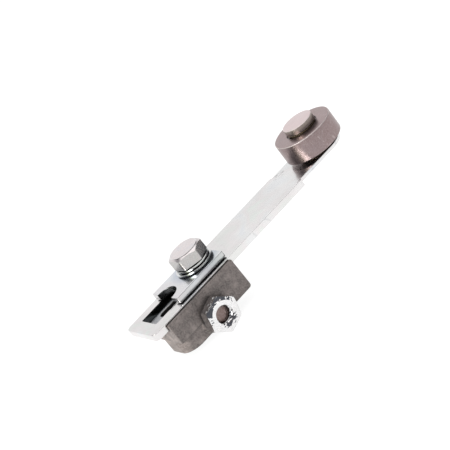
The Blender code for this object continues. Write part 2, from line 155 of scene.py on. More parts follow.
def sheetMesh(name, outlines, bottom, top, edge, steps=3):
    # flat bar from its outlines, holes among them, with every edge rounded over
    curve = bpy.data.curves.new(name, "CURVE")
    curve.dimensions = "2D"
    curve.fill_mode = "BOTH"
    curve.extrude = (top - bottom) / 2 - edge
    curve.bevel_depth = edge
    curve.bevel_resolution = steps
    curve.offset = -edge
    for outline in outlines:
        spline = curve.splines.new("POLY")
        spline.points.add(len(outline) - 1)
        for point, (x, y) in zip(spline.points, outline):
            point.co = (x, y, 0.0, 1.0)
        spline.use_cyclic_u = True
    holder = linked(name + "Outline", curve)
    mesh = applied(holder)
    bpy.data.objects.remove(holder, do_unlink=True)
    mesh.name = name
    mesh.transform(Matrix.Translation((0, 0, (top + bottom) / 2)))
    return smooth(tidyMesh(mesh), 32)


def joinMeshes(name, meshes):
    bm = bmesh.new()
    for mesh in meshes:
        bm.from_mesh(mesh)
    joined = bpy.data.meshes.new(name)
    bm.to_mesh(joined)
    bm.free()
    return joined


def cutMesh(mesh, cutter, operation="DIFFERENCE"):  # exact Boolean, applied
    holders = [linked("holder", item) for item in (mesh, cutter)]
    cut = holders[0].modifiers.new("cut", "BOOLEAN")
    cut.operation = operation
    cut.solver = "EXACT"
    cut.object = holders[1]
    result = applied(holders[0])
    for holder in holders:
        bpy.data.objects.remove(holder, do_unlink=True)
    result.name = mesh.name
    return result


def boxMesh(low, high):
    bm = bmesh.new()
    bmesh.ops.create_cube(bm, size=1.0)
    bmesh.ops.scale(bm, vec=Vector(high) - Vector(low), verts=bm.verts)
    bmesh.ops.translate(bm, vec=(Vector(low) + Vector(high)) / 2, verts=bm.verts)
    mesh = bpy.data.meshes.new("box")
    bm.to_mesh(mesh)
    bm.free()
    return mesh


def hexRadius(angle, flats, sharpness=34):  # polar radius of a hexagon with slightly rounded corners
    total = 0.0
    for side in range(6):
        reach = math.cos(angle - side * math.pi / 3 - math.pi / 6)
        if reach > 0:
            total += (reach / (flats / 2)) ** sharpness
    return total ** (-1 / sharpness)


def threadDepth(height, angle, pitch):  # 0 at the crest, 1 at the root, of a right-handed thread
    turn = (height / pitch - angle / (2 * math.pi)) % 1.0
    ridge = abs(turn * 2 - 1)
    return min(1.0, max(0.0, (ridge - 0.12) / 0.76))


def addNode(tree, kind, sockets=None, **settings):
    node = tree.nodes.new(kind)
    for key, value in settings.items():
        setattr(node, key, value)
    for key, value in (sockets or {}).items():
        if isinstance(value, bpy.types.NodeSocket):
            tree.links.new(value, node.inputs[key])
        else:
            node.inputs[key].default_value = value
    return node


def newGroup(name, inputs, outputs):
    tree = bpy.data.node_groups.new(name, "ShaderNodeTree")
    kinds = {"float": "NodeSocketFloat", "vector": "NodeSocketVector", "colour": "NodeSocketColor"}
    for label, kind, value in inputs:
        socket = tree.interface.new_socket(name=label, in_out="INPUT", socket_type=kinds[kind])
        socket.default_value = value
    for label, kind in outputs:
        tree.interface.new_socket(name=label, in_out="OUTPUT", socket_type=kinds[kind])
    return tree, tree.nodes.new("NodeGroupInput").outputs, tree.nodes.new("NodeGroupOutput").inputs


def placeGroup(tree, group, **values):  # sockets out of a shared effect
    return addNode(tree, "ShaderNodeGroup", values, node_tree=group).outputs


def ramp(tree, source, stops):
    node = tree.nodes.new("ShaderNodeValToRGB")
    tree.links.new(source, node.inputs["Fac"])
    elements = node.color_ramp.elements
    while len(elements) < len(stops):
        elements.new(0.5)
    for element, (place, colour) in zip(elements, stops):
        element.position = place
        element.color = (*colour, 1.0)
    return node.outputs["Color"]


def maths(tree, operation, *values, clamp=False):
    sockets = dict(enumerate(values))
    return addNode(tree, "ShaderNodeMath", sockets, operation=operation, use_clamp=clamp).outputs[0]


def vectorMaths(tree, operation, *values):
    node = addNode(tree, "ShaderNodeVectorMath", dict(enumerate(values)), operation=operation)
    return node.outputs["Value" if operation in ("DOT_PRODUCT", "LENGTH", "DISTANCE") else "Vector"]


def mapped(tree, value, low, high, floor=0.0, kind="LINEAR"):  # low to high becomes floor to 1
    sockets = {"Value": value, "From Min": low, "From Max": high, "To Min": floor}
    return addNode(tree, "ShaderNodeMapRange", sockets, interpolation_type=kind).outputs[0]


def noise(tree, place, scale, **sockets):
    return addNode(tree, "ShaderNodeTexNoise", {"Vector": place, "Scale": scale, **sockets}).outputs["Fac"]


def split(tree, vector):  # its three parts
    return addNode(tree, "ShaderNodeSeparateXYZ", {0: vector}).outputs


def scaled(tree, value, factor, offset=0.0):
    return maths(tree, "MULTIPLY_ADD", value, factor, offset)


def mixColour(tree, share, first, second, blend="MIX"):
    node = addNode(tree, "ShaderNodeMix", {"Factor": share}, data_type="RGBA", blend_type=blend)
    for key, value in (("A", first), ("B", second)):
        socket = [item for item in node.inputs if item.name == key and item.type == "RGBA"][0]
        if isinstance(value, bpy.types.NodeSocket):
            tree.links.new(value, socket)
        else:
            socket.default_value = (*value, 1.0)
    return [item for item in node.outputs if item.type == "RGBA"][0]


white = (1.0, 1.0, 1.0)
effects = dict(edgeFacing=(0.995, 0.86), patchScale=900.0, patchRange=(0.35, 0.6),
               hueShift=(0.37, 0.11, 0.73), nickTilt=(0.3, 0.2), nickTurns=((0.5, 9.0), (2.1, 14.0)),
               nickRange=(0.68, 0.74), slowRings=0.12, grimeRange=(0.75, 0.15), speckScale=2300.0,
               speckRange=(0.36, 0.64), boxFade=-0.0003, sideRange=(0.9, 0.5))


def buildEdgeWear():  # 1 along outside edges, broken up by noise
    tree, start, end = newGroup("edgeWear", [("Reach", "float", 0.0004), ("Patchiness", "float", 0.5)],
                                [("Mask", "float")])
    around = addNode(tree, "ShaderNodeBevel", {"Radius": start["Reach"]}, samples=6)
    here = tree.nodes.new("ShaderNodeNewGeometry")
    facing = vectorMaths(tree, "DOT_PRODUCT", around.outputs[0], here.outputs["Normal"])
    turned = mapped(tree, facing, *effects["edgeFacing"])
    place = tree.nodes.new("ShaderNodeTexCoord").outputs
    patches = noise(tree, place["Object"], effects["patchScale"], Detail=4.0)
    broken = mapped(tree, patches, *effects["patchRange"])
    kept = addNode(tree, "ShaderNodeMix", {0: start["Patchiness"], 2: 1.0, 3: broken})
    out = maths(tree, "MULTIPLY", turned, kept.outputs[0], clamp=True)
    tree.links.new(out, end["Mask"])
    return tree


def buildClouds():  # slow drifts of tone and of faint colour over plated metal
    tree, start, end = newGroup("plateClouds", [("Scale", "float", 60.0), ("Tint", "float", 0.5),
                                                ("Base", "colour", (0.8, 0.8, 0.8, 1.0))],
                                [("Colour", "colour"), ("Cloud", "float")])
    place = tree.nodes.new("ShaderNodeTexCoord").outputs
    slow = noise(tree, place["Object"], start["Scale"], Detail=3.0, Roughness=0.55, Distortion=0.6)
    shift = vectorMaths(tree, "ADD", place["Object"], effects["hueShift"])
    other = noise(tree, shift, start["Scale"], Detail=2.0, Roughness=0.5, Distortion=1.2)
    hues = ramp(tree, other, [(0.30, (0.90, 0.93, 1.0)), (0.45, white), (0.58, (1.0, 0.93, 0.93)),
                              (0.72, (0.94, 1.0, 0.94))])
    tinted = mixColour(tree, start["Tint"], white, hues)
    tone = ramp(tree, slow, [(0.3, (0.90, 0.90, 0.90)), (0.7, white)])
    toned = mixColour(tree, 1.0, start["Base"], tone, "MULTIPLY")
    colour = mixColour(tree, 1.0, toned, tinted, "MULTIPLY")
    tree.links.new(colour, end["Colour"])
    tree.links.new(slow, end["Cloud"])
    return tree


def buildGrain():  # drawn-metal grain: noise stretched along one direction
    tree, start, end = newGroup("drawnGrain", [("Stretch", "vector", (60.0, 2500.0, 2500.0)),
                                               ("Sharpness", "float", 0.6)], [("Height", "float")])
    place = tree.nodes.new("ShaderNodeTexCoord").outputs
    drawn = vectorMaths(tree, "MULTIPLY", place["Object"], start["Stretch"])
    lines = noise(tree, drawn, 1.0, Detail=5.0, Roughness=start["Sharpness"])
    tree.links.new(lines, end["Height"])
    return tree


def buildNicks():  # short handling scratches in all directions
    tree, start, end = newGroup("handlingNicks", [("Scale", "float", 240.0), ("Amount", "float", 0.5)],
                                [("Mask", "float")])
    place = tree.nodes.new("ShaderNodeTexCoord").outputs
    masks = []
    for turn, ratio in effects["nickTurns"]:
        spun = addNode(tree, "ShaderNodeMapping", {"Vector": place["Object"],
                                                   "Rotation": (*effects["nickTilt"], turn),
                                                   "Scale": (1.0, ratio, 1.0)})
        lines = noise(tree, spun.outputs[0], start["Scale"], Detail=1.0, Distortion=0.4)
        cut = mapped(tree, lines, *effects["nickRange"])
        masks.append(cut)
    both = maths(tree, "MAXIMUM", masks[0], masks[1])
    out = maths(tree, "MULTIPLY", both, start["Amount"], clamp=True)
    tree.links.new(out, end["Mask"])
    return tree


def buildRings():  # lathe marks: rings by height on the sides and by radius on the ends
    tree, start, end = newGroup("latheRings", [("Spacing", "float", 0.00012), ("Waver", "float", 0.4)],
                                [("Height", "float"), ("Band", "float")])
    place = tree.nodes.new("ShaderNodeTexCoord").outputs
    parts = split(tree, place["Object"])
    flat = addNode(tree, "ShaderNodeCombineXYZ", {0: parts[0], 1: parts[1]})
    radius = vectorMaths(tree, "LENGTH", flat.outputs[0])
    run = maths(tree, "ADD", radius, parts[2])
    count = maths(tree, "DIVIDE", run, start["Spacing"])
    ringPlace = addNode(tree, "ShaderNodeCombineXYZ", {0: count})
    fine = noise(tree, ringPlace.outputs[0], 1.0, Detail=2.0)
    slowCount = vectorMaths(tree, "MULTIPLY", ringPlace.outputs[0], (effects["slowRings"], 1.0, 1.0))
    slow = noise(tree, slowCount, 1.0, Detail=1.0)
    mixed = addNode(tree, "ShaderNodeMix", {0: start["Waver"], 2: fine, 3: slow})
    tree.links.new(mixed.outputs[0], end["Height"])
    tree.links.new(slow, end["Band"])
    return tree


def buildGrime():  # painted shade: 1 in corners and gaps, where ambient occlusion finds nearby surfaces
    tree, start, end = newGroup("cornerGrime", [("Reach", "float", 0.002), ("Amount", "float", 0.6)],
                                [("Mask", "float")])
    openness = addNode(tree, "ShaderNodeAmbientOcclusion", {"Distance": start["Reach"]}, samples=6)
    closed = mapped(tree, openness.outputs["AO"], *effects["grimeRange"])
    out = maths(tree, "MULTIPLY", closed, start["Amount"], clamp=True)
    tree.links.new(out, end["Mask"])
    return tree


def buildTopMask():  # 1 on faces that look up along the piece's own Z, 0 on its sides
    tree, start, end = newGroup("topMask", [("Start", "float", 0.55), ("Full", "float", 0.92)],
                                [("Mask", "float")])
    place = tree.nodes.new("ShaderNodeTexCoord").outputs
    parts = split(tree, place["Normal"])
    rise = mapped(tree, parts[2], start["Start"], start["Full"])
    tree.links.new(rise, end["Mask"])
    return tree


def buildDents():  # soft uneven surface of barrelled and plated metal
    tree, start, end = newGroup("softDents", [("Scale", "float", 500.0)],
                                [("Height", "float"), ("Speck", "float")])
    place = tree.nodes.new("ShaderNodeTexCoord").outputs
    swell = noise(tree, place["Object"], start["Scale"], Detail=2.0, Roughness=0.5)
    speck = noise(tree, place["Object"], effects["speckScale"], Detail=2.0, Roughness=0.7)
    spread = mapped(tree, speck, *effects["speckRange"])
    tree.links.new(swell, end["Height"])
    tree.links.new(spread, end["Speck"])
    return tree


def buildHollowMask():  # 1 on side faces inside a box, such as the walls of a slot; the finishes darken it there as painted shade
    tree, start, end = newGroup("hollowMask", [("Centre", "vector", (0.0, 0.0, 0.0)),
                                               ("Half", "vector", (0.001, 0.001, 0.001)),
                                               ("Tops", "float", 0.0)], [("Mask", "float")])
    place = tree.nodes.new("ShaderNodeTexCoord").outputs
    away = vectorMaths(tree, "SUBTRACT", place["Object"], start["Centre"])
    far = vectorMaths(tree, "ABSOLUTE", away)
    past = vectorMaths(tree, "SUBTRACT", far, start["Half"])
    parts = split(tree, past)
    wide = maths(tree, "MAXIMUM", parts[0], parts[1])
    most = maths(tree, "MAXIMUM", wide, parts[2])
    inside = mapped(tree, most, 0.0, effects["boxFade"])
    turned = split(tree, place["Normal"])
    side = mapped(tree, turned[2], *effects["sideRange"], floor=start["Tops"])
    out = maths(tree, "MULTIPLY", inside, side)
    tree.links.new(out, end["Mask"])
    return tree


edgeWear, plateClouds, drawnGrain = buildEdgeWear(), buildClouds(), buildGrain()
topMask, softDents, hollowMask = buildTopMask(), buildDents(), buildHollowMask()
handlingNicks, latheRings, cornerGrime = buildNicks(), buildRings(), buildGrime()
print("stage: shared effects made")


def startFinish(name, metallic=1.0):
    finish = bpy.data.materials.new(name)
    finish.use_nodes = True
    tree = finish.node_tree
    shader = tree.nodes["Principled BSDF"]
    shader.inputs["Metallic"].default_value = metallic
    return finish, tree, shader


def bumped(tree, height, strength, distance, normal=None):
    sockets = {"Height": height, "Strength": strength, "Distance": distance}
    if normal:
        sockets["Normal"] = normal
    return addNode(tree, "ShaderNodeBump", sockets).outputs["Normal"]


def scrapeMask(tree, scrape):  # short drag marks gathered round one spot
    place = tree.nodes.new("ShaderNodeTexCoord").outputs
    away = vectorMaths(tree, "DISTANCE", place["Object"], scrape["spot"])
    near = mapped(tree, away, scrape["reach"], scrape["reach"] * scrape["core"])
    spun = addNode(tree, "ShaderNodeMapping", {"Vector": place["Object"],
                                               "Rotation": (0.0, 0.0, scrape["turn"]),
                                               "Scale": (1.0, scrape["ratio"], 1.0)})
    marks = noise(tree, spun.outputs[0], scrape["scale"], Detail=2.0)
    cut = mapped(tree, marks, *scrape["cut"])
    return maths(tree, "MULTIPLY", near, cut)


def haloTone(tree, halo):  # painted shade and reflection: a blue-grey darkening round a fastener
    place = tree.nodes.new("ShaderNodeTexCoord").outputs
    away = vectorMaths(tree, "DISTANCE", place["Object"], halo["spot"])
    near = mapped(tree, away, halo["reach"], halo["full"], kind="SMOOTHSTEP")
    return mixColour(tree, near, white, halo["tone"])


def zincFinish(name, **changes):
    look = dict(zincLook, **changes)
    finish, tree, shader = startFinish(name)
    clouds = placeGroup(tree, plateClouds, Scale=look["cloudScale"], Tint=look["tint"],
                        Base=(*look["colour"], 1.0))
    wear = placeGroup(tree, edgeWear, Reach=look["edgeReach"], Patchiness=look["edgePatches"])
    nicks = placeGroup(tree, handlingNicks, Scale=look["nickScale"], Amount=look["nicks"])
    grain = placeGroup(tree, drawnGrain, Stretch=look["grain"], Sharpness=look["grainSharpness"])
    top = placeGroup(tree, topMask)
    dents = placeGroup(tree, softDents, Scale=look["dentScale"])
    # painted shade: corner occlusion darkens the colour towards a near-black shade colour, lightly on top faces
    # and strongly on side faces
    amount = scaled(tree, top["Mask"], look["grime"] - look["sideGrime"], look["sideGrime"])
    grime = placeGroup(tree, cornerGrime, Reach=look["grimeReach"], Amount=amount)
    bright = mixColour(tree, scaled(tree, wear["Mask"], look["edgeShine"]), clouds["Colour"],
                       look["edgeColour"])
    scuffed = mixColour(tree, nicks["Mask"], bright, look["nickColour"])
    # painted shade: side faces darkened against top faces
    sided = mixColour(tree, 1.0, scuffed, mixColour(tree, top["Mask"], look["sideTone"], white), "MULTIPLY")
    specked = mixColour(tree, scaled(tree, dents["Speck"], look["speck"]), sided, look["speckColour"])
    dirty = mixColour(tree, grime["Mask"], specked, look["grimeColour"])
    # painted shade: walls inside the hollow box (slot, notch) are darkened towards the shade colour
    if look["hollow"]:
        hollow = placeGroup(tree, hollowMask, Centre=look["hollow"][0], Half=look["hollow"][1])
        dirty = mixColour(tree, scaled(tree, hollow["Mask"], look["hollowAmount"]), dirty,
                          look["grimeColour"])
    # painted shade and reflection: blue-grey darkening round the bolt
    if look["halo"]:
        dirty = mixColour(tree, 1.0, dirty, haloTone(tree, look["halo"]), "MULTIPLY")
    if look["scrape"]:
        dirty = mixColour(tree, scrapeMask(tree, look["scrape"]), dirty, look["scrapeColour"])
    tree.links.new(dirty, shader.inputs["Base Color"])
    rough = scaled(tree, clouds["Cloud"], look["roughSpread"], look["roughness"] - look["roughSpread"] / 2)
    rougher = maths(tree, "MULTIPLY_ADD", nicks["Mask"], look["nickRoughness"], rough)
    tree.links.new(rougher, shader.inputs["Roughness"])
    lined = bumped(tree, grain["Height"], look["grainStrength"], look["markDepth"])
    nicked = bumped(tree, scaled(tree, nicks["Mask"], -1.0), look["nickStrength"], look["markDepth"], lined)
    tree.links.new(bumped(tree, dents["Height"], look["dents"], look["dentDepth"], nicked),
                   shader.inputs["Normal"])
    return finish


zincLook = dict(colour=(0.80, 0.80, 0.80), cloudScale=55.0, tint=0.55, edgeReach=0.35 * mm,
                edgePatches=0.35, edgeShine=0.6, edgeColour=(0.93, 0.93, 0.93), nickScale=260.0, nicks=0.35,
                nickColour=(0.55, 0.55, 0.57), grain=(50.0, 2600.0, 2600.0), grainStrength=0.12,
                grainSharpness=0.6, nickRoughness=0.25, nickStrength=0.3, markDepth=0.02 * mm,
                # grimeReach, grime, sideGrime and grimeColour: painted shade in corners and on side walls
                grimeReach=2.4 * mm, grime=0.12, sideGrime=0.96, grimeColour=(0.03, 0.04, 0.04),
                # sideTone: side faces darkened against top faces as painted shade
                roughness=0.20, roughSpread=0.12, sideTone=(1.0, 1.0, 1.0), dentScale=300.0, dents=0.02,
                # hollow and hollowAmount: walls inside a hollow darkened as painted shade
                dentDepth=0.2 * mm, speck=0.06, hollow=None, hollowAmount=0.9, halo=None,
                speckColour=(0.62, 0.62, 0.64), scrape=None, scrapeColour=(0.42, 0.42, 0.43))
armZinc = zincFinish("armZinc", hollow=((-0.7 * mm, 13.9 * mm, 9.6 * mm), (17.6 * mm, 6.3 * mm, 3 * mm)),
                     scrape=dict(spot=(62.8 * mm, 20.6 * mm, 11.1 * mm), reach=3.6 * mm, core=0.4, turn=0.9,
                                 ratio=3.5, scale=420.0, cut=(0.55, 0.62)))
plateZinc = zincFinish("plateZinc", colour=(0.76, 0.77, 0.79), roughness=0.22, edgeShine=0.9,
                       sideTone=(0.82, 0.82, 0.81), dents=0.04, hollow=((-4.3 * mm, 13.25 * mm, 12.6 * mm),
                                                                        (3.2 * mm, 5.9 * mm, 3 * mm)),
                       # halo: painted shade and reflection round the bolt
                       hollowAmount=0.75, halo=dict(spot=(10.2 * mm, 13.25 * mm, 14.1 * mm),
                                                    reach=12.5 * mm, full=8.0 * mm,
                                                    tone=(0.74, 0.78, 0.84)))
boltZinc = zincFinish("boltZinc", colour=(0.82, 0.76, 0.76), cloudScale=160.0, tint=0.5, roughness=0.26,
                      roughSpread=0.14, grain=(700.0, 700.0, 700.0), grainStrength=0.25,
                      grimeReach=0.8 * mm, nickScale=500.0, grime=0.2, sideGrime=0.7,
                      sideTone=(0.60, 0.63, 0.61), dentScale=420.0, dents=0.12, speck=0.35)
washerZinc = zincFinish("washerZinc", colour=(0.76, 0.77, 0.77), cloudScale=200.0, roughness=0.16,
                        grain=(900.0, 900.0, 900.0), nickScale=500.0, grimeReach=0.9 * mm,
                        sideTone=(0.72, 0.74, 0.72))
nutZinc = zincFinish("nutZinc", colour=(0.90, 0.90, 0.90), cloudScale=180.0, tint=0.2, nicks=0.2,
                     roughness=0.10, roughSpread=0.08, grain=(800.0, 800.0, 800.0), grainStrength=0.2,
                     edgePatches=0.1, edgeShine=1.0, grime=0.5, sideGrime=0.5, grimeReach=0.8 * mm,
                     nickScale=500.0, dentScale=400.0, dents=1.0, dentDepth=0.60 * mm, speck=0.25,
                     speckColour=(0.30, 0.30, 0.31))


def castFinish(name, look):
    finish, tree, shader = startFinish(name, look["metallic"])
    place = tree.nodes.new("ShaderNodeTexCoord").outputs
    coarse = noise(tree, place["Object"], look["coarse"], Detail=5.0, Roughness=0.6)
    fine = noise(tree, place["Object"], look["fine"], Detail=3.0, Roughness=0.7)
    pits = addNode(tree, "ShaderNodeTexVoronoi", {"Vector": place["Object"], "Scale": look["pits"],
                                                  "Randomness": 1.0})
    dots = mapped(tree, pits.outputs["Distance"], *look["pitRange"])
    tone = ramp(tree, coarse, [(0.32, look["dark"]), (0.5, look["colour"]), (0.68, look["light"])])
    sand = mapped(tree, fine, *look["sandRange"])
    speckled = mixColour(tree, scaled(tree, sand, look["sandShare"]), tone, look["speck"])
    pitted = mixColour(tree, scaled(tree, dots, -look["pitShare"], look["pitShare"]), speckled,
                       look["dark"])
    wear = placeGroup(tree, edgeWear, Reach=look["edgeReach"], Patchiness=look["edgePatches"])
    worn = mixColour(tree, scaled(tree, wear["Mask"], look["edgeShine"]), pitted, look["edgeColour"])
    # painted shade: corner occlusion darkens the cast colour
    grime = placeGroup(tree, cornerGrime, Reach=look["grimeReach"], Amount=look["grime"])
    # painted light on faces looking along -X and painted shade on faces looking down
    face = split(tree, place["Normal"])
    ending = mapped(tree, face[0], *look["endRange"])
    under = mapped(tree, face[2], *look["underRange"])
    ended = mixColour(tree, 1.0, worn, mixColour(tree, ending, white, look["endTone"]), "MULTIPLY")
    shaded = mixColour(tree, 1.0, ended, mixColour(tree, under, white, look["underTone"]), "MULTIPLY")
    dirty = mixColour(tree, grime["Mask"], shaded, look["grimeColour"])
    # a flat patch at seat level is painted pale and non-metallic: machined seat metal with painted light on it
    height = split(tree, place["Object"])
    level = maths(tree, "COMPARE", height[2], look["seatLevel"], look["seatReach"])
    top = placeGroup(tree, topMask)
    seat = maths(tree, "MULTIPLY", level, top["Mask"])
    # painted shade: the pocket under the slot, walls and floors, is darkened
    hollow = placeGroup(tree, hollowMask, Centre=look["hollow"][0], Half=look["hollow"][1], Tops=1.0)
    sooty = mixColour(tree, scaled(tree, hollow["Mask"], look["hollowAmount"]), dirty, look["grimeColour"])
    machined = mixColour(tree, seat, sooty, look["seatColour"])
    tree.links.new(machined, shader.inputs["Base Color"])
    tree.links.new(scaled(tree, seat, -look["metallic"], look["metallic"]), shader.inputs["Metallic"])
    tree.links.new(scaled(tree, fine, look["roughSpread"], look["roughness"]), shader.inputs["Roughness"])
    rolling = bumped(tree, coarse, look["rolling"], look["rollingDepth"])
    sandy = bumped(tree, fine, look["sand"], look["sandDepth"], rolling)
    tree.links.new(bumped(tree, dots, look["pitStrength"], look["pitDepth"], sandy),
                   shader.inputs["Normal"])
    return finish


castLook = dict(metallic=0.55, colour=(0.165, 0.141, 0.134), dark=(0.075, 0.069, 0.065),
                light=(0.29, 0.25, 0.235), speck=(0.32, 0.285, 0.27), edgeColour=(0.48, 0.44, 0.42),
                # grimeColour, grimeReach and grime: painted shade in corners
                edgeReach=0.45 * mm, edgeShine=0.7, edgePatches=0.55, grimeColour=(0.02, 0.022, 0.022),
                grimeReach=2.5 * mm, grime=0.75, coarse=260.0, fine=1500.0, pits=1100.0,
                pitRange=(0.12, 0.34), pitShare=0.35, pitStrength=0.35, pitDepth=0.05 * mm, roughness=0.38,
                roughSpread=0.25, sand=0.7, sandRange=(0.38, 0.62), sandShare=0.55, sandDepth=0.06 * mm,
                # endTone and underTone: painted light on faces looking along -X, painted shade on faces looking
                # down
                rolling=0.5, rollingDepth=0.12 * mm, endTone=(1.45, 1.42, 1.40), endRange=(-0.55, -0.9),
                underTone=(0.42, 0.46, 0.44), underRange=(-0.1, -0.75), seatLevel=7.9 * mm,
                # seatColour: the pale seat patch, machined metal with painted light on it
                seatReach=0.25 * mm, seatColour=(0.60, 0.61, 0.64), hollowAmount=0.85,
                # hollow and hollowAmount: the pocket under the slot, darkened as painted shade
                hollow=((-4.3 * mm, 13.9 * mm, 4.8 * mm), (8.0 * mm, 5.6 * mm, 3.0 * mm)))
blockCast = castFinish("blockCast", castLook)


def turnedFinish(name, **changes):
    look = dict(steelLook, **changes)
    finish, tree, shader = startFinish(name)
    rings = placeGroup(tree, latheRings, Spacing=look["spacing"], Waver=look["waver"])
    clouds = placeGroup(tree, plateClouds, Scale=look["cloudScale"], Tint=look["tint"],
                        Base=(*look["colour"], 1.0))
    nicks = placeGroup(tree, handlingNicks, Scale=look["nickScale"], Amount=look["nicks"])
    wear = placeGroup(tree, edgeWear, Reach=look["edgeReach"], Patchiness=look["edgePatches"])
    # painted shade: corner occlusion darkens the turned colour
    grime = placeGroup(tree, cornerGrime, Reach=look["grimeReach"], Amount=look["grime"])
    banded = mixColour(tree, scaled(tree, rings["Band"], look["bands"]), clouds["Colour"],
                       look["bandColour"])
    scuffed = mixColour(tree, nicks["Mask"], banded, look["edgeColour"])
    top = placeGroup(tree, topMask)
    dents = placeGroup(tree, softDents, Scale=look["dentScale"])
    # painted light and shade: top faces lightened by topTone, side faces darkened by sideTone
    sided = mixColour(tree, 1.0, scuffed, mixColour(tree, top["Mask"], look["sideTone"], look["topTone"]),
                      "MULTIPLY")
    specked = mixColour(tree, scaled(tree, dents["Speck"], look["speck"]), sided, look["speckColour"])
    # painted highlight: the sloped rim between top and side is brightened, merged with real edge wear
    low, high = (placeGroup(tree, topMask, Start=begin, Full=full) for begin, full in look["rimSlopes"])
    rim = maths(tree, "SUBTRACT", low["Mask"], high["Mask"], clamp=True)
    edge = maths(tree, "MAXIMUM", wear["Mask"], rim)
    worn = mixColour(tree, scaled(tree, edge, look["edgeShine"]), specked, look["edgeColour"])
    dirty = mixColour(tree, grime["Mask"], worn, look["grimeColour"])
    tree.links.new(dirty, shader.inputs["Base Color"])
    rough = scaled(tree, clouds["Cloud"], look["roughSpread"], look["roughness"] - look["roughSpread"] / 2)
    rougher = maths(tree, "MULTIPLY_ADD", edge, look["edgeRoughness"], rough)
    tree.links.new(rougher, shader.inputs["Roughness"])
    tree.links.new(bumped(tree, rings["Height"], look["ringStrength"], look["ringDepth"]),
                   shader.inputs["Normal"])
    return finish


steelLook = dict(colour=(0.29, 0.225, 0.225), spacing=0.10 * mm, cloudScale=110.0, tint=0.5, nicks=0.25,
                 # grime, grimeColour and grimeReach: painted shade in corners
                 edgeReach=0.4 * mm, edgeShine=0.75, edgeColour=(0.90, 0.83, 0.81), grime=0.7,
                 grimeColour=(0.035, 0.03, 0.028), bands=0.35, bandColour=(0.22, 0.17, 0.168),
                 roughness=0.34, roughSpread=0.12, ringStrength=0.25, ringDepth=0.012 * mm, waver=0.35,
                 nickScale=420.0, edgePatches=0.3, grimeReach=1.5 * mm, dentScale=900.0,
                 # rimSlopes: normal slopes of the painted rim highlight
                 rimSlopes=((0.10, 0.35), (0.86, 0.98)), edgeRoughness=0.3, sideTone=(0.97, 0.95, 0.94),
                 # topTone lightens top faces and sideTone darkens side faces: painted light and shade
                 topTone=(1.35, 1.32, 1.32), speck=0.5, speckColour=(0.40, 0.33, 0.33))
rollerSteel = turnedFinish("rollerSteel")
pinSteel = turnedFinish("pinSteel", colour=(0.68, 0.575, 0.575), bandColour=(0.60, 0.50, 0.50),
                        roughness=0.33, sideTone=(0.42, 0.42, 0.37), topTone=(1.12, 1.12, 1.12), speck=0.15,
                        speckColour=(0.78, 0.70, 0.70))
studSteel = turnedFinish("studSteel", colour=(0.21, 0.15, 0.13), spacing=0.05 * mm, roughness=0.42,
                         bandColour=(0.24, 0.18, 0.16))
bearingSteel = turnedFinish("bearingSteel", colour=(0.62, 0.62, 0.63), roughness=0.18, tint=0.1,
                            bandColour=(0.55, 0.55, 0.56))
cageBronze = turnedFinish("cageBronze", colour=(0.45, 0.33, 0.18), bandColour=(0.38, 0.27, 0.14),
                          edgeColour=(0.70, 0.55, 0.35), roughness=0.4)
thrustBronze = turnedFinish("thrustBronze", colour=(0.40, 0.31, 0.19), bandColour=(0.30, 0.22, 0.13),
                            edgeColour=(0.66, 0.54, 0.36), roughness=0.38)
print("stage: finishes made")


armLow, armHigh = (Vector(corner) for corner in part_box("arm_bar"))
plateLow, plateHigh = (Vector(corner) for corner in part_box("clamp_plate"))
boltLow, boltHigh = (Vector(corner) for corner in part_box("clamp_bolt"))
flatLow, flatHigh = (Vector(corner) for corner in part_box("flat_washer"))
springLow, springHigh = (Vector(corner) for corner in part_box("spring_washer"))
nutLow, nutHigh = (Vector(corner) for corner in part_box("side_nut"))
studLow, studHigh = (Vector(corner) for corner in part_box("side_stud"))
rollerLow, rollerHigh = (Vector(corner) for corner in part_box("roller"))
pinLow, pinHigh = (Vector(corner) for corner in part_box("roller_pin"))
boltAxis = (flatLow + flatHigh) / 2
rollerAxis = (rollerLow + rollerHigh) / 2
studAxis = (studLow + studHigh) / 2


armShape = dict(corner=2.2 * mm, shoulder=50.6 * mm, shoulderCorner=0.8 * mm, tongue=20.8 * mm,
                tongueThickness=1.4 * mm, slotWidth=11.8 * mm, slotOffset=0.65 * mm, slotMargin=5.5 * mm,
                slotLength=34.4 * mm, slotCorner=0.6 * mm, edge=0.18 * mm, tailSteps=10, shoulderSteps=6,
                tongueSteps=60, slotSteps=5)


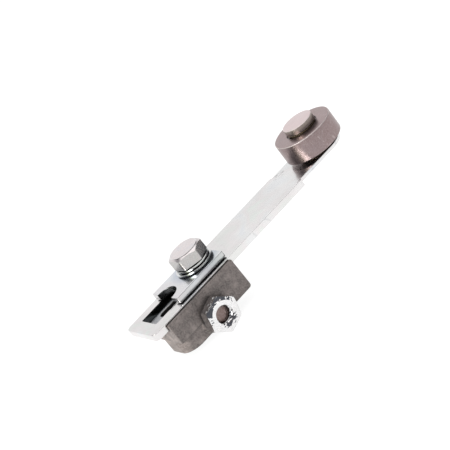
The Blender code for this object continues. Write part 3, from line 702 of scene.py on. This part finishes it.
def makeArm(s):
    middle = boltAxis.y
    half = (armHigh.y - armLow.y) / 2
    tail, axis, right = armLow.x, rollerAxis.x, math.pi / 2
    tongue = s["tongue"] / 2
    shoulder = s["shoulder"] + boltAxis.x  # where the bar narrows to its tongue
    turn, side = shoulder - s["shoulderCorner"], half - s["shoulderCorner"]
    outline = arcPoints((tail + s["corner"], middle + half - s["corner"]), s["corner"], right, 2 * right,
                        s["tailSteps"])
    outline += arcPoints((tail + s["corner"], middle - half + s["corner"]), s["corner"], 2 * right,
                         3 * right, s["tailSteps"])
    outline += arcPoints((turn, middle - side), s["shoulderCorner"], -right, 0, s["shoulderSteps"])
    outline += [(shoulder, middle - tongue)]
    outline += arcPoints((axis, middle), tongue, -right, right, s["tongueSteps"])
    outline += [(shoulder, middle + tongue)]
    outline += arcPoints((turn, middle + side), s["shoulderCorner"], 0, right, s["shoulderSteps"])
    start, end = tail + s["slotMargin"], tail + s["slotMargin"] + s["slotLength"]
    low = middle + s["slotOffset"] - s["slotWidth"] / 2
    high = middle + s["slotOffset"] + s["slotWidth"] / 2
    corner = s["slotCorner"]
    slot = []
    for x, y, angle in ((end - corner, high - corner, 0), (start + corner, high - corner, 1),
                        (start + corner, low + corner, 2), (end - corner, low + corner, 3)):
        slot += arcPoints((x, y), corner, angle * right, (angle + 1) * right, s["slotSteps"])
    top = armHigh.z
    mesh = sheetMesh("arm", [outline, slot], armLow.z, top, s["edge"])
    relief = boxMesh((shoulder, armLow.y - mm, armLow.z - mm), (armHigh.x + mm, armHigh.y + mm,
                                                                top - s["tongueThickness"]))
    mesh = smooth(cutMesh(mesh, relief), 32)
    return newPiece("armBar", mesh, "arm", armZinc, ["arm_bar"])


makeArm(armShape)
print("stage: arm made")


plateShape = dict(notch=5.5 * mm, hole=4.3 * mm, edge=0.3 * mm, corner=0.5 * mm, foot=0.1 * mm,
                  footInset=1.3 * mm, footNotch=0.2 * mm, footEdge=0.04 * mm, cornerSteps=4, notchSteps=40,
                  holeSteps=48, footSteps=30)


def makePlate(s):
    x0, x1, y0, y1 = plateLow.x, plateHigh.x, plateLow.y, plateHigh.y
    right, middle = math.pi / 2, (plateLow.y + plateHigh.y) / 2
    corner = s["corner"]
    outline = arcPoints((x1 - corner, y1 - corner), corner, 0, right, s["cornerSteps"])
    outline += arcPoints((x0 + corner, y1 - corner), corner, right, 2 * right, s["cornerSteps"])
    outline += arcPoints((x0, middle), s["notch"], right, -right, s["notchSteps"])
    outline += arcPoints((x0 + corner, y0 + corner), corner, 2 * right, 3 * right, s["cornerSteps"])
    outline += arcPoints((x1 - corner, y0 + corner), corner, 3 * right, 4 * right, s["cornerSteps"])
    hole = arcPoints((boltAxis.x, boltAxis.y), s["hole"], 0, 2 * math.pi, s["holeSteps"])[:-1]
    bottom = plateLow.z + s["foot"]
    plate = sheetMesh("plate", [outline, hole], bottom, plateHigh.z, s["edge"])
    inset = s["footInset"]
    footOutline = [(x1 - inset, y1 - inset), (x0 + inset, y1 - inset)]
    spread = math.asin(inset / (s["notch"] + inset))
    footOutline += arcPoints((x0, middle), s["notch"] + s["footNotch"], right - spread, -right + spread,
                             s["footSteps"])
    footOutline += [(x0 + inset, y0 + inset), (x1 - inset, y0 + inset)]
    foot = sheetMesh("plateFoot", [footOutline, hole], plateLow.z, bottom + s["edge"] * 1.5, s["footEdge"],
                     1)
    return newPiece("clampPlate", joinMeshes("clampPlate", [plate, foot]), "clamp", plateZinc,
                    ["clamp_plate"])


makePlate(plateShape)
print("stage: clamp plate made")


washerShape = dict(bore=4.3 * mm, flatEdge=0.22 * mm, springEdge=0.14 * mm, springLift=0.12 * mm,
                   split=0.7 * mm, splitTurn=150.0, springSteps=120)


def makeWashers(s):
    height = flatHigh.z - flatLow.z
    outer = (flatHigh.x - flatLow.x) / 2
    profile = softProfile([(s["bore"], height), (outer, height), (outer, 0), (s["bore"], 0)], s["flatEdge"],
                          4)
    newPiece("flatWasher", turnedMesh("flatWasher", profile), "clamp", washerZinc,
             ["flat_washer"], (boltAxis.x, boltAxis.y, flatLow.z))
    height = springHigh.z - springLow.z
    outer = (springHigh.x - springLow.x) / 2
    profile = softProfile([(s["bore"], height), (outer, height), (outer, 0), (s["bore"], 0)],
                          s["springEdge"], 3)
    gap = s["split"] / outer
    first = math.radians(s["splitTurn"]) + gap / 2
    steps, rows = s["springSteps"], []
    for step in range(steps + 1):
        share = step / steps
        angle = first + (2 * math.pi - gap) * share
        lift = s["springLift"] * (share - 0.5)
        squeeze = (height - s["springLift"]) / height
        rows.append([polar(radius, angle, height / 2 + (z - height / 2) * squeeze + lift)
                     for radius, z in profile])
    mesh = smooth(gridMesh("springWasher", rows, True, True, True), 28)
    newPiece("springWasher", mesh, "clamp", washerZinc, ["spring_washer"],
             (boltAxis.x, boltAxis.y, springLow.z))


makeWashers(washerShape)
print("stage: washers made")


boltShape = dict(flats=13.0 * mm, headHeight=5.3 * mm, face=5.7 * mm, chamfer=30.0, crown=0.10 * mm,
                 turn=34.0, shank=4.0 * mm, pitch=1.25 * mm, threadDepth=0.62 * mm, point=0.9 * mm,
                 rim=0.05 * mm, crownRadii=(0.0, 2.0 * mm, 4.0 * mm, 5.4 * mm, 6.0 * mm), steps=144,
                 chamferRows=(0.0, 0.06, 0.2, 0.45, 0.75, 0.92, 1.0), flatRows=(0.03, 0.5, 0.97))
nutShape = dict(boltShape, turn=17.6, bore=3.95 * mm, mouth=0.85 * mm, face=5.4 * mm, threadCut=0.35 * mm,
                threadStart=0.7)
studShape = dict(boltShape, threadDepth=0.55 * mm, endEdge=0.1 * mm, endDrop=0.08 * mm, steps=96)


def hexRows(s, height, bothEnds):
    # outer rows of a hexagon from the rim of its upper face down to its base, each corner turned down
    slope = math.tan(math.radians(s["chamfer"]))
    angles = [2 * math.pi * step / s["steps"] for step in range(s["steps"])]
    radii = [hexRadius(angle, s["flats"]) for angle in angles]

    def chamferRow(share, face, way):  # way is -1 below the upper face and 1 above the lower one
        reaches = [s["face"] + (radius - s["face"]) * share for radius in radii]
        return [polar(reach, angle, face + way * ((reach - s["face"]) * slope + s["rim"] * min(1.0, share * 8)))
                for angle, reach in zip(angles, reaches)]

    rows = [chamferRow(share, height, -1) for share in s["chamferRows"]]
    for share in s["flatRows"]:
        row = []
        for angle, radius in zip(angles, radii):
            upper = height - (radius - s["face"]) * slope - s["rim"]
            lower = (radius - s["face"]) * slope + s["rim"] if bothEnds else 0.0
            row.append(polar(radius, angle, upper + (lower - upper) * share))
        rows.append(row)
    if bothEnds:
        return rows + [chamferRow(share, 0.0, 1) for share in reversed(s["chamferRows"])]
    return rows + [[polar(radius, angle, 0.0) for angle, radius in zip(angles, radii)]]


def circleRow(radius, height, steps):
    return [polar(radius, 2 * math.pi * step / steps, height) for step in range(steps)]


def threadRows(s, top, bottom, radius, inside=False):
    # rows down a threaded cylinder; the depth fades out at both ends
    rows, perTurn, runOut = [], 10, 0.5 * s["pitch"]
    count = max(2, int((top - bottom) / s["pitch"] * perTurn))
    for index in range(count + 1):
        height = top + (bottom - top) * index / count
        fade = min(1.0, (top - height) / runOut + 0.02, (height - bottom) / runOut + 0.02)
        row = []
        for step in range(s["steps"]):
            angle = 2 * math.pi * step / s["steps"]
            depth = s["threadDepth"] * threadDepth(height, angle, s["pitch"]) * max(0.0, fade)
            row.append(polar(radius + depth if inside else radius - depth, angle, height))
        rows.append(row)
    return rows


def makeBolt(s):
    steps, height = s["steps"], s["headHeight"]
    seat = boltHigh.z - height
    length = seat - boltLow.z
    rows = [circleRow(radius, height - s["crown"] * (radius / s["face"]) ** 2,
                      steps) for radius in s["crownRadii"]]
    rows += hexRows(s, height - s["crown"], False)
    rows.append(circleRow(s["shank"], 0.0, steps))
    rows += threadRows(s, -s["rim"], -length + s["point"], s["shank"])
    rows += [circleRow(s["shank"] - s["point"], -length, steps), circleRow(0.0, -length, steps)]
    mesh = smooth(gridMesh("clampBolt", rows), 30)
    mesh.transform(Matrix.Rotation(math.radians(s["turn"]), 4, "Z"))
    newPiece("clampBolt", mesh, "clamp", boltZinc, ["clamp_bolt"],
             (boltAxis.x, boltAxis.y, seat))


def makeNut(s):
    height, mouth, start = nutHigh.y - nutLow.y, s["bore"] + s["mouth"], s["mouth"] * s["threadStart"]
    rows = [circleRow(mouth, height, s["steps"])] + hexRows(s, height, True)
    rows.append(circleRow(mouth, 0.0, s["steps"]))
    rows += reversed(threadRows(s, height - start, start, s["bore"] - s["threadCut"], True))
    rows.append(circleRow(mouth, height, s["steps"]))
    mesh = smooth(gridMesh("sideNut", rows), 30)
    mesh.transform(Matrix.Rotation(math.radians(90), 4, "X") @ Matrix.Rotation(math.radians(s["turn"]), 4,
                                                                               "Z"))
    newPiece("sideNut", mesh, "clamp", nutZinc, ["side_nut"], (0.0, nutHigh.y, studAxis.z))


def makeStud(s):
    length, point, steps = studHigh.y - studLow.y, s["shank"] - s["point"], s["steps"]
    rows = [circleRow(radius, length, steps) for radius in (0.0, 1.5 * mm, point - s["endEdge"])]
    rows.append(circleRow(point + s["rim"], length - s["endDrop"], steps))
    rows += threadRows(s, length - s["point"], s["point"], s["shank"])
    rows += [circleRow(point, 0.0, steps), circleRow(0.0, 0.0, steps)]
    mesh = smooth(gridMesh("sideStud", rows), 30)
    mesh.transform(Matrix.Rotation(math.radians(90), 4, "X"))
    newPiece("sideStud", mesh, "clamp", studSteel, ["side_stud"],
             (studAxis.x, studHigh.y, studAxis.z))


makeBolt(boltShape)
makeNut(nutShape)
makeStud(studShape)
print("stage: bolt, nut and stud made")


rollerShape = dict(edge=0.45 * mm, recess=0.7 * mm, headRecess=6.75 * mm, lip=1.0 * mm, bore=7.4 * mm,
                   passage=4.5 * mm, steps=192)
pinShape = dict(headHeight=2.7 * mm, headRadius=6.55 * mm, edge=0.35 * mm, shank=3.9 * mm, neck=3.0 * mm,
                rivet=4.8 * mm, rivetHeight=1.3 * mm, crown=0.06 * mm, rivetEdge=0.1 * mm, domeShare=0.92,
                seatEdge=0.15 * mm, shoulderGap=0.3 * mm, middle=2.0 * mm, middleDrop=0.01 * mm)


def makeRoller(s):
    height = rollerHigh.z - rollerLow.z
    outer = (rollerHigh.x - rollerLow.x) / 2
    recess = height - s["recess"]
    profile = [(s["headRecess"], height), (outer, height), (outer, 0.0), (s["bore"], 0.0),
               (s["bore"], recess - s["lip"]), (s["passage"], recess - s["lip"]), (s["passage"], recess),
               (s["headRecess"], recess)]
    mesh = turnedMesh("roller", softProfile(profile, s["edge"], 4), s["steps"])
    newPiece("rollerRing", mesh, "roller", rollerSteel, ["roller"],
             (rollerAxis.x, rollerAxis.y, rollerLow.z))


def makePin(s):
    top = pinHigh.z - pinLow.z
    seat, shoulder = top - s["headHeight"], armHigh.z - pinLow.z + s["shoulderGap"]
    rim, rivetTop = s["headRadius"] - s["edge"], s["rivetHeight"]
    head = [(0.0, top), (s["middle"], top - s["middleDrop"]), (rim, top - s["crown"])]
    head += arcPoints((rim, top - s["crown"] - s["edge"]), s["edge"], math.pi / 2, 0, 5)[1:]
    body = [(s["headRadius"], seat + s["seatEdge"]), (s["headRadius"] - s["seatEdge"], seat),
            (s["shank"], seat), (s["shank"], shoulder), (s["neck"], shoulder), (s["neck"], rivetTop),
            (s["rivet"] - s["rivetEdge"], rivetTop)]
    dome = [(s["rivet"] * math.cos(a), rivetTop * (s["domeShare"] - s["domeShare"] * math.sin(a)))
            for a in (math.radians(step * 7.5) for step in range(12))]
    mesh = turnedMesh("rollerPin", head + body + dome + [(0.0, 0.0)])
    newPiece("rollerPin", mesh, "arm", pinSteel, ["roller_pin"],
             (rollerAxis.x, rollerAxis.y, pinLow.z))


makeRoller(rollerShape)
makePin(pinShape)
print("stage: roller and pin made")


blockShape = dict(voxel=0.26 * mm, smoothRounds=5, smoothShare=0.5)


def makeBlock(s):
    mesh = nodes["cast_block"].data.copy()
    holder = linked("castHolder", mesh)
    cells = holder.modifiers.new("cells", "REMESH")
    cells.mode = "VOXEL"
    cells.voxel_size = s["voxel"]
    soften = holder.modifiers.new("soften", "SMOOTH")
    soften.factor = s["smoothShare"]
    soften.iterations = s["smoothRounds"]
    shape = applied(holder)
    bpy.data.objects.remove(holder, do_unlink=True)
    shape.name = "castBlock"
    shape.shade_smooth()
    newPiece("castBlock", shape, "clamp", blockCast, ["cast_block"])


makeBlock(blockShape)
print("stage: cast block made")


for nodeName, piece in nodes.items():
    finish = None
    if nodeName.startswith("needle_0") or nodeName in ("needle_10", "needle_cup"):
        finish = bearingSteel
    elif nodeName == "needle_cage":
        finish = cageBronze
    elif nodeName.endswith("thrust_washer"):
        finish = thrustBronze
    if finish:
        for slot in piece.material_slots:
            slot.material = finish


studio = dict(floorDrop=0.15 * mm, floorSize=4.0, floorTone=0.25, floorFibres=40.0, fibreTone=1.04,
              floorRoughness=0.9, glow=0.90, dark=(0.10, 0.105, 0.12),  # panels: aim, start, full, tone
              panels=[((0.20, 0.95, 0.20), 0.62, 0.80, (0.98, 0.98, 0.98)),
                      ((0.15, -0.10, 0.98), 0.72, 0.84, (1.35, 1.33, 1.32)),
                      ((-0.92, -0.13, 0.36), 0.930, 0.985, (1.45, 1.45, 1.08))])
lampSettings = dict(place=(-0.50, -0.18, 0.25), aim=(0.02, 0.01, 0.0), size=(0.25, 0.25), power=1.6)
cameraSettings = dict(place=(-159.5 * mm, -468.75 * mm, 215.0 * mm), along=(0.34037, 0.86921, -0.35864),
                      roll=38.5, lens=117.9, sensor=36.0, nearest=0.01)


def makeFloor(s):
    half = s["floorSize"] / 2
    mesh = bpy.data.meshes.new("floor")
    mesh.from_pydata([(-half, -half, 0), (half, -half, 0), (half, half, 0), (-half, half, 0)], [],
                     [(0, 1, 2, 3)])
    floor = linked("floor", mesh)
    floor.location.z = cadBox[0][2] - s["floorDrop"]
    paper = bpy.data.materials.new("floorPaper")
    paper.use_nodes = True
    tree = paper.node_tree
    shader = tree.nodes["Principled BSDF"]
    fibres = addNode(tree, "ShaderNodeTexNoise", {"Scale": s["floorFibres"], "Detail": 2.0})
    tone = ramp(tree, fibres.outputs["Fac"], [(0.3, (s["floorTone"],) * 3),
                                              (0.7, (s["floorTone"] * s["fibreTone"],) * 3)])
    tree.links.new(tone, shader.inputs["Base Color"])
    shader.inputs["Roughness"].default_value = s["floorRoughness"]
    shader.inputs["Specular IOR Level"].default_value = 0.0
    shader.inputs["Emission Color"].default_value = (1.0, 1.0, 1.0, 1.0)
    shader.inputs["Emission Strength"].default_value = s["glow"]
    mesh.materials.append(paper)


def makeSky(s):
    # a dark studio with a white backdrop behind, a soft panel overhead and a warm strip light at the left
    world = bpy.data.worlds.new("studioSky")
    bpy.context.scene.world = world
    world.use_nodes = True
    tree = world.node_tree
    background = tree.nodes["Background"]
    place = tree.nodes.new("ShaderNodeTexCoord").outputs
    sky = None
    for aim, start, full, colour in s["panels"]:
        toward = vectorMaths(tree, "DOT_PRODUCT", place["Generated"], Vector(aim).normalized())
        share = mapped(tree, toward, start, full, kind="SMOOTHSTEP")
        sky = mixColour(tree, share, sky or s["dark"], colour)
    tree.links.new(sky, background.inputs["Color"])


def makeLamp(name, s):
    lamp = bpy.data.lights.new(name, "AREA")
    lamp.shape = "RECTANGLE"
    lamp.size, lamp.size_y = s["size"]
    lamp.energy = s["power"]
    holder = linked(name, lamp)
    holder.location = s["place"]
    holder.rotation_euler = (Vector(s["aim"]) - Vector(s["place"])).to_track_quat("-Z", "Y").to_euler()


def makeCamera(s):
    camera = bpy.data.cameras.new("camera")
    camera.lens = s["lens"]
    camera.sensor_width = s["sensor"]
    camera.clip_start = s["nearest"]
    holder = linked("camera", camera)
    turn = Vector(s["along"]).to_track_quat("-Z", "Y").to_matrix().to_4x4()
    holder.matrix_world = Matrix.Translation(s["place"]) @ turn @ Matrix.Rotation(math.radians(-s["roll"]),
                                                                                  4, "Z")
    bpy.context.scene.camera = holder


makeFloor(studio)
makeSky(studio)
makeLamp("leftLamp", lampSettings)
makeCamera(cameraSettings)
bpy.context.scene.view_settings.view_transform = "Standard"
print("stage: set, lights and camera made")
